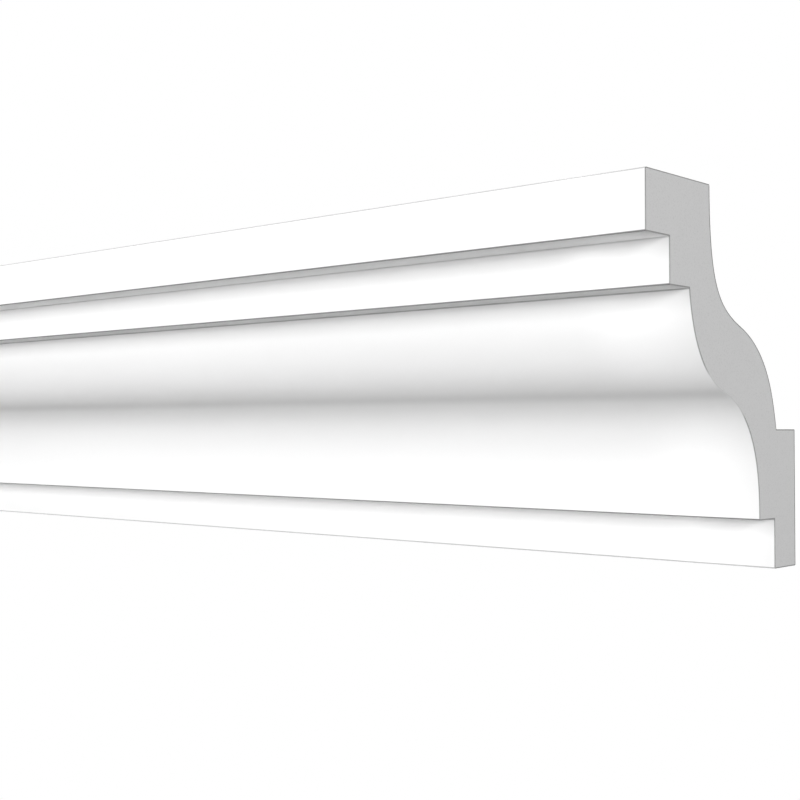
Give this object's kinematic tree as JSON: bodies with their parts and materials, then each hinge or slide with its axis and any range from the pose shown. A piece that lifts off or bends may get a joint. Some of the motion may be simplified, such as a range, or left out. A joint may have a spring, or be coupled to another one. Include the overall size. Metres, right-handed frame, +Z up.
{
  "type": "cornice moulding length",
  "caption": "Straight length of white cornice moulding: stepped crown fascias over an S-curved ogee and a set-back foot, with a hollow back, a wall plate and square cut ends.",
  "frame": {"origin": "middle of the flat wall plate, where the moulding bears on the wall, halfway along its length", "axes": "+X along the moulding, +Y into the wall, so -Y is the room side, +Z up to the ceiling"},
  "size_m": [1, 0.1176, 0.15],
  "materials": {
    "white_primer": "satin white primer on moulded rigid foam"
  },
  "bodies": {
    "root": {"cornice_moulding": "white_primer"}
  },
  "joints": []
}
